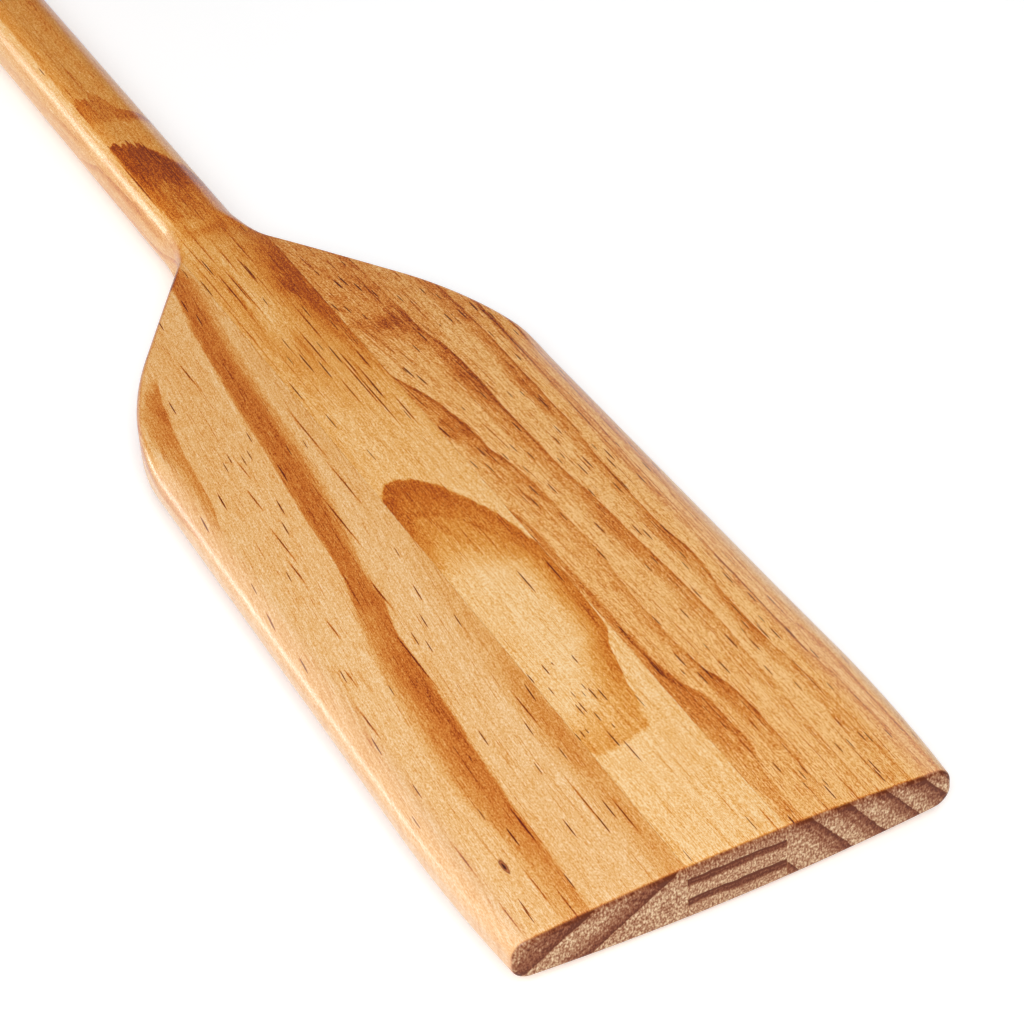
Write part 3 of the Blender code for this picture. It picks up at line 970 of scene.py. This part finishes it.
# The right blade board: closer rings, so many narrower bands and dark lines
RIGHT_BOARD = {
    "seed": 4.7,
    "tones": RIGHT_TONES,
    "drift": [(0, 0), (60, -1), (120, -4), (180, -8), (240, -14), (300, -20), (340, -23)],
    "fan": 1.0 / 66.0,
    "lean": 0.78,
    "end_rings": [(0.5, 6.0), (16.0, 24.5), (28.0, 36.5), (42.0, 49.0), (52.0, 61.5), (65.5, 72.0)],
    "waver": (1.0, 1.4),
    "bands": [
        ([(0, 17.0), (30, 15.5), (48, 8.0), (75, 3.0), (165, 5.0), (335, 6.0)],
         [(0, 22.3), (20, 22.6), (40, 25.7), (58, 25.3), (66, 22.6), (75, 20.6), (100, 19.2),
          (150, 18.8), (165, 17.3), (200, 12.0), (335, 11.0)],
         [(0, 0.26), (30, 0.36), (65, 0.54), (100, 0.38), (335, 0.30)], LINED),
        ([(0, 27.0), (60, 26.0), (80, 25.0), (100, 23.0), (140, 20.0), (200, 15.0), (225, 12.0),
          (335, 5.0)],
         [(0, 32.3), (40, 34.5), (60, 33.5), (75, 30.2), (100, 29.0), (140, 30.5), (180, 29.5),
          (190, 27.9), (200, 26.0), (210, 25.6), (222, 24.0), (232, 21.8), (243, 18.4),
          (255, 15.4), (335, 10.0)],
         [(0, 0.22), (30, 0.34), (60, 0.78), (90, 0.42), (140, 0.42), (200, 0.78), (335, 0.70)],
         LINED),
        ([(0, 38.5), (60, 39.5), (110, 36.5), (130, 35.0), (160, 33.5), (210, 32.0),
          (250, 30.0), (275, 25.0), (335, 25.0)],
         [(0, 44.5), (60, 45.5), (95, 46.3), (130, 44.5), (160, 42.9), (180, 41.2),
          (200, 40.7), (240, 40.6), (255, 40.1), (270, 37.5), (300, 36.5), (335, 35.0)],
         [(0, 0.31), (60, 0.36), (120, 0.70), (160, 0.59), (210, 0.78), (268, 0.70),
          (290, 0.34), (335, 0.22)], LINED),
        ([(0, 50.0), (60, 49.0), (90, 48.5), (130, 48.0), (210, 48.5), (290, 48.5), (335, 47.5)],
         [(0, 57.9), (20, 57.5), (60, 55.7), (80, 54.2), (100, 54.2), (118, 56.2), (130, 55.2),
          (145, 54.0), (175, 54.0), (200, 55.6), (260, 55.8), (280, 55.2), (335, 53.5)],
         [(0, 0.28), (55, 0.42), (80, 0.70), (105, 0.50), (130, 0.76), (160, 0.53), (195, 0.53),
          (225, 0.78), (255, 0.70), (290, 0.50), (335, 0.48)], LINED),
        ([(0, 59.5), (85, 57.5), (115, 58.0), (150, 58.0), (175, 58.5), (220, 59.0),
          (335, 60.0)],
         [(0, 64.6), (20, 64.2), (50, 63.0), (85, 61.6), (130, 62.0), (175, 62.4), (200, 62.9),
          (240, 62.0), (275, 61.8), (335, 62.0)],
         [(0, 0.42), (115, 0.45), (145, 0.60), (335, 0.62)], LINED),
        ([(0, 64.6), (60, 64.6), (85, 62.5), (140, 62.5), (170, 63.5), (335, 64.0)],
         [(0, 68.2), (60, 68.0), (80, 65.4), (110, 64.9), (140, 64.9), (170, 66.8), (200, 67.0),
          (335, 67.6)],
         [(0, 0.40), (75, 0.42), (140, 0.42), (180, 0.25), (335, 0.1)], LINED),
        ([(0, 66.5), (140, 64.5), (335, 66.0)],
         [(0, 70.5), (140, 69.0), (335, 70.5)],
         [(0, 0.1), (120, 0.15), (150, 0.40), (230, 0.40), (335, 0.2)], SOFT),
    ],
    "tone": [(0, 0.0), (150, 0.02), (240, 0.10), (262, 0.15), (275, 0.30), (340, 0.36)],
    "end_tone": 0.36,
    "streaks": BUSY_STREAKS,
    "hairs": 0.55,
    "blotches": [((19.0, 67.0), (4.0, 9.0), 0.10), ((20.0, 213.0), (4.5, 7.0), 0.26),
                 ((20.0, 40.0), (11.0, 60.0), 0.13), ((18.0, 110.0), (5.0, 45.0), 0.10),
                 ((28.5, 278.0), (6.5, 4.5), 0.40), ((40.0, 143.0), (3.0, 12.0), 0.24),
                 ((37.0, 235.0), (3.5, 20.0), 0.26), ((51.5, 222.0), (1.8, 16.0), 0.3),
                 ((52.5, 130.0), (2.5, 8.0), 0.2), ((51.0, 76.0), (2.2, 7.0), 0.2),
                 ((31.0, 64.0), (2.2, 9.0), 0.22), ((40.0, 68.0), (2.5, 8.0), 0.14)],
    "marks": [
        (61.0, 250.0, 22.0, 0.8), (67.2, 38.0, 20.0, 0.5), (32.0, 300.0, 14.0, 0.5),
        (60.6, 200.0, 40.0, 0.55), (62.8, 150.0, 40.0, 0.55), (61.5, 95.0, 26.0, 0.45),
        (66.0, 110.0, 30.0, 0.45), (66.0, 235.0, 40.0, 0.5), (63.2, 40.0, 30.0, 0.4),
        (48.5, 176.0, 5.0, 0.7), (50.0, 12.0, 6.0, 0.6), (30.3, 42.0, 2.5, 0.8),
        (52.5, 32.0, 3.0, 0.8), (41.5, 282.0, 9.0, 0.6), (53.5, 165.0, 8.0, 0.5),
    ],
    "sanded": (0.0, 0.0),
    # Painted sheen near the rounded right edge
    "edge_sheen": (0.14, 58.0),
    "canals": [(2.0, 34.0, 0.068, [(0, 0.48)], 80.0)],
    "knots": [],
}

# The stave: flat-sawn, so its rings lie almost level and draw arches on the face. In place of
# bands it has one shade across a ring of a given spacing, and these, in mm:
# hump, shaft_hump: fall of the rings across the blade and across the shaft
# shift: where the middle of the blade's hump lies, and steepness: the share of the fall that
#   there is, both along the stave
# rise: depth in the rings at the upper face, along its middle
# fingers: the y where they start, the x of their edge, their reach in depth, and their lumps
# pale_wood_and_sheen: how much paler the shaft is at places across it, partly from spring wood and
#   partly a painted highlight on its left rounding
STAVE_BOARD = {
    "seed": 8.1,
    "tones": STAVE_TONES,
    "drift": [(0, 0), (200, -1.5), (360, 0), (1220, 3)],
    "fan": 0.0,
    "spacing": 7.5,
    "hump": [(-26, 3.2), (-20, 1.5), (-17, 0.8), (-15, 0.5), (-12, 0.12), (-9, 0.0), (-5, 0.06),
             (-2, 0.17), (2, 0.44), (5, 0.7), (8, 1.04), (11, 1.42), (13, 1.8), (16, 2.45),
             (20, 3.4), (26, 5.2)],
    "shaft_hump": [(-26, 0.0), (0, 0.0), (1, 0.25), (3, 0.55), (5, 0.72), (7, 0.85), (9, 0.95),
                   (11, 1.1), (13.9, 1.4), (26, 1.4)],
    "pale_wood_and_sheen": [(-26, 0.45), (-13.9, 0.45), (-13.2, 0.5), (-12.2, 0.8), (-9.8, 0.8), (-8.7, 0.0),
                  (26, 0.0)],
    "shift": [(0, -3), (50, 0), (56, 0), (62, -2), (66, -3.5), (73, -5), (82, -6), (106, -6),
              (150, -0.6), (170, 0), (560, 0)],
    "steepness": [(0, 0.1), (50, 0.3), (54.5, 0.4), (56, 0.5), (62, 1.1), (66, 1.4), (73, 1.55),
                  (82, 1.5), (98, 1.38), (118, 1.3), (130, 1.25), (150, 1.05), (300, 1.0),
                  (330, 1.2), (355, 1.0), (370, 0.3), (385, 0.35), (398, 1.0), (430, 1.0),
                  (445, 2.0), (560, 2.2)],
    "rise": [(0, -4.1), (40, -0.7), (50, -0.15), (53, 0.0), (54.5, 0.12), (56, 0.27), (62, 1.0),
             (66, 1.7), (73, 2.58), (82, 3.35), (92, 3.83), (98, 4.37), (102, 4.9), (118, 4.9),
             (130, 4.6), (140, 3.7), (150, 2.45), (160, 1.9), (170, 1.42), (178, 1.04), (187, 0.65),
             (198, 0.0), (206, -0.9), (240, -2.7), (265, -3.4), (300, -4.15), (320, -4.5),
             (345, -4.95), (358, -5.5), (372, -5.8), (400, -6.4), (428, -7.5), (436, -10.0),
             (445, -12.7), (452, -13.9), (467, -15.0), (510, -18.0), (560, -19.5)],
    "waver": (0.4, 0.3),
    "fingers": (390.0, 3.0, 1.7, (1.8, 40.0, 1.8)),
    "shade": ((0.0, 0.0), (0.014, 0.95), (0.05, 1.0), (0.10, 0.86), (0.125, 0.82), (0.137, 0.95),
              (0.152, 0.68), (0.22, 0.60), (0.26, 0.45), (0.31, 0.22), (0.40, 0.0), (0.98, 0.0)),
    "end_shade": ((0.0, 0.0), (0.01, 1.0), (0.08, 0.95), (0.15, 0.50), (0.24, 0.66), (0.32, 0.50),
                  (0.42, 0.10), (0.50, 0.0), (0.98, 0.0)),
    "darkness": [(0, 0.30), (60, 0.30), (75, 0.42), (100, 0.60), (130, 0.62), (150, 0.60),
                 (200, 0.66), (240, 0.44), (345, 0.36), (380, 0.50), (430, 0.58), (447, 0.34),
                 (460, 0.24), (560, 0.2)],
    "tone": [(0, 0.04), (60, 0.05), (140, 0.06), (198, 0.15), (240, 0.20), (300, 0.24),
             (345, 0.26), (380, 0.34), (430, 0.42), (560, 0.42)],
    "end_tone": 0.36,
    "streaks": CALM_STREAKS,
    "hairs": 0.3,
    "blotches": [((-1.5, 280.0), (0.9, 9.0), 0.3), ((-14.0, 170.0), (2.5, 11.0), 0.10),
                 ((-4.0, 365.0), (4.5, 3.5), -0.15), ((-5.0, 270.0), (5.0, 16.0), 0.20),
                 ((-10.5, 300.0), (3.0, 36.0), 0.20), ((12.0, 308.0), (6.5, 46.0), 0.40),
                 ((7.0, 314.0), (3.0, 6.0), 0.16), ((-9.0, 318.0), (1.2, 14.0), 0.16),
                 ((-5.0, 425.0), (4.0, 5.0), -0.1), ((-4.0, 300.0), (3.0, 30.0), -0.06),
                 ((0.0, 360.0), (9.0, 4.0), 0.15), ((3.0, 350.0), (9.0, 4.0), -0.08)],
    "marks": [
        (5.7, 250.0, 12.0, 0.95), (6.6, 240.0, 12.0, 1.0), (7.0, 262.0, 6.0, 1.0),
        (8.7, 250.0, 10.0, 0.8), (11.8, 230.0, 6.0, 0.95), (0.8, 248.0, 7.0, 0.8),
        (0.7, 276.0, 10.0, 0.95), (0.6, 330.0, 8.0, 1.0), (-6.0, 322.0, 10.0, 0.95),
        (5.5, 290.0, 10.0, 0.8), (-9.6, 400.0, 16.0, 0.95), (13.5, 5.0, 5.0, 0.7),
        (-9.0, 320.0, 12.0, 0.7), (12.2, 262.0, 5.0, 0.95), (-13.2, 326.0, 18.0, 0.5),
        (-11.0, 344.0, 14.0, 0.5), (-5.4, 316.0, 14.0, 0.6), (-7.0, 350.0, 13.0, 0.5),
        (-14.4, 296.0, 18.0, 0.4), (4.4, 345.0, 12.0, 0.4), (-2.6, 338.0, 10.0, 0.4),
    ],
    "sanded": (0.0, 0.0),
    "edge_sheen": (0.0, 0.0),
    "canals": [
        (2.6, 70.0, 0.05, [(0, 0.2), (200, 0.2), (230, 0.6), (340, 0.6), (360, 0.2), (560, 0.2)],
         20.0),
        (1.5, 20.0, 0.09, [(0, -1.0), (56, -1.0), (64, 0.7), (94, 0.7), (108, -1.0),
                           (560, -1.0)], 2.0),
    ],
    "knots": [],
}


# Right edges of the bands on the grip cheeks, and their width, in mm
CHEEK_BANDS = (-38.0, -24.0, 24.0, 34.0)
CHEEK_BAND_WIDTH = 6.0


def cheek(seed, lean):
    """Grain of a short grip cheek: plain bands along its length."""
    return {
        "seed": seed,
        "tones": LEFT_TONES if lean < 0 else RIGHT_TONES,
        "drift": [(0, 0), (1100, 0), (1220, 4)],
        "fan": 0.0,
        "lean": lean,
        "end_rings": [],
        "waver": (1.6, 1.6),
        "bands": [([(0, edge - CHEEK_BAND_WIDTH)], [(0, edge)], [(0, 0.4)], SWELLING)
                  for edge in CHEEK_BANDS],
        "tone": [(0, 0.2)],
        "end_tone": 0.3,
        "streaks": CALM_STREAKS,
        "hairs": 0.3,
        "blotches": [],
        "marks": [],
        "sanded": (0.0, 0.0),
        "edge_sheen": (0.0, 0.0),
        "canals": [(3.0, 60.0, 0.04, [(0, 0.4)], 80.0)],
        "knots": [],
    }


def make_boards():
    """The five boards, each riding on the paddle's one body in place of its CAD solid."""
    every = stations()
    inner = STAVE_WIDTH / 2 - GLUE
    outer = STAVE_WIDTH / 2 + GLUE
    far = BLADE_WIDTH
    blade = cut_where(every[:, every[0] < SHAFT_START_Y], outer + GLUE)
    grip = cut_where(every[:, every[0] > FLARE_Y], outer + GLUE)
    boards = [
        ("shaft_stave", every, -inner, inner, STAVE_STEPS, STAVE_BOARD),
        ("left_blade_board", blade, -far, -outer, BLADE_STEPS, LEFT_BOARD),
        ("right_blade_board", blade, outer, far, BLADE_STEPS, RIGHT_BOARD),
        ("left_grip_cheek", grip, -far, -outer, CHEEK_STEPS, cheek(2.9, -1.6)),
        ("right_grip_cheek", grip, outer, far, CHEEK_STEPS, cheek(6.1, 0.9)),
    ]
    for node, columns, left, right, steps, board in boards:
        piece = board_mesh(node + "_shaped", columns, left, right, steps)
        piece.data.materials.append(varnished_pine("varnished_pine_" + node, board))
        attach(piece, "root")
        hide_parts(node)


# The floor: how far it reaches in metres, its colour, and the glow that lifts it to white
FLOOR_REACH = 8.0
FLOOR_COLOUR = "#f2f2f2"
FLOOR_LIFT = 0.30


def make_floor():
    """A plain pale floor with the paddle's shadow.

    Camera, glossy and transmission rays see it lifted to white.
    """
    corners = [(FLOOR_REACH * x, FLOOR_REACH * y, 0.0)
               for x, y in ((-1, -1), (1, -1), (1, 1), (-1, 1))]
    mesh = bpy.data.meshes.new("floor")
    mesh.from_pydata(corners, [], [(0, 1, 2, 3)])
    floor = new_object("floor", mesh)
    material = bpy.data.materials.new("matt_white_floor")
    tree = empty_tree(material)
    matt = add(tree, "BsdfDiffuse", linear(FLOOR_COLOUR))
    camera_ray = add(tree, "LightPath", out="Is Camera Ray")
    glossy_ray = camera_ray.node.outputs["Is Glossy Ray"]
    clear_ray = camera_ray.node.outputs["Is Transmission Ray"]
    seen = add(tree, "Math", camera_ray, glossy_ray, operation='MAXIMUM')
    seen = add(tree, "Math", seen, clear_ray, operation='MAXIMUM')
    lift = add(tree, "Math", seen, FLOOR_LIFT, operation='MULTIPLY')
    lift = add(tree, "Emission", WHITE, lift)
    add(tree, "OutputMaterial", add(tree, "AddShader", matt, lift))
    mesh.materials.append(material)


# The studio: a dim white dome and softboxes, as direction from the blade, distance in metres,
# width, height and watts
WORLD_LEVEL = 0.19
SOFTBOXES = (
    ("top_softbox", (0.10, 0.15, 1.00), 2.4, 1.6, 1.6, 10.5),
    ("low_softbox", (-0.70, 0.71, 0.11), 2.4, 1.1, 0.52, 14.0),
    ("right_softbox", (0.70, 0.71, 0.14), 2.4, 1.1, 0.52, 2.5),
    ("front_softbox", (-0.35, -0.70, 0.70), 2.4, 1.6, 1.2, 49.5),
)


def make_light():
    """The low softboxes at the back gleam on the rounded long edges, and the others fill."""
    world = bpy.data.worlds.new("studio")
    bpy.context.scene.world = world
    tree = empty_tree(world)
    add(tree, "OutputWorld", add(tree, "Background", WHITE, WORLD_LEVEL))
    target = Vector((0.0, TIP_PLACE + BLADE_SIDE_LENGTH, 0.0))
    for name, direction, distance, width, height, power in SOFTBOXES:
        lamp = bpy.data.lights.new(name, 'AREA')
        lamp.shape = 'RECTANGLE'
        lamp.size = width
        lamp.size_y = height
        lamp.energy = power
        softbox = new_object(name, lamp)
        towards = Vector(direction).normalized()
        softbox.location = target + towards * distance
        softbox.rotation_euler = towards.to_track_quat('Z', 'Y').to_euler()


# The camera, worked out from the outline and joints in the 1024 by 1024 photograph
IMAGE_SIZE = 1024
FOCAL_PIXELS = 3515.6
SENSOR_MM = 36.0
CAMERA_AZIMUTH = math.radians(-25.487)
CAMERA_ELEVATION = math.radians(38.094)
CAMERA_ROLL = math.radians(-3.695)
CAMERA_FROM_TIP = Vector((-0.3538, -0.6118, 0.6848))


def make_camera():
    """Camera that looks down on the blade from beyond its tip, rolled a little."""
    data = bpy.data.cameras.new("camera")
    data.sensor_width = SENSOR_MM
    data.lens = FOCAL_PIXELS / IMAGE_SIZE * SENSOR_MM
    data.clip_start = 0.05
    camera = new_object("camera", data)
    level = math.cos(CAMERA_ELEVATION)
    back = Vector((math.sin(CAMERA_AZIMUTH) * level, -math.cos(CAMERA_AZIMUTH) * level,
                   math.sin(CAMERA_ELEVATION)))
    right = (-back).cross(Vector((0.0, 0.0, 1.0))).normalized()
    up = right.cross(-back)
    turned_right = math.cos(CAMERA_ROLL) * right + math.sin(CAMERA_ROLL) * up
    turned_up = -math.sin(CAMERA_ROLL) * right + math.cos(CAMERA_ROLL) * up
    turn = Matrix((turned_right, turned_up, back)).transposed().to_4x4()
    place = Vector((0.0, TIP_PLACE, MID_HEIGHT)) + CAMERA_FROM_TIP
    camera.matrix_world = Matrix.Translation(place) @ turn
    bpy.context.scene.camera = camera


make_camera()
make_boards()
make_floor()
make_light()
bpy.context.scene.view_settings.view_transform = 'Standard'
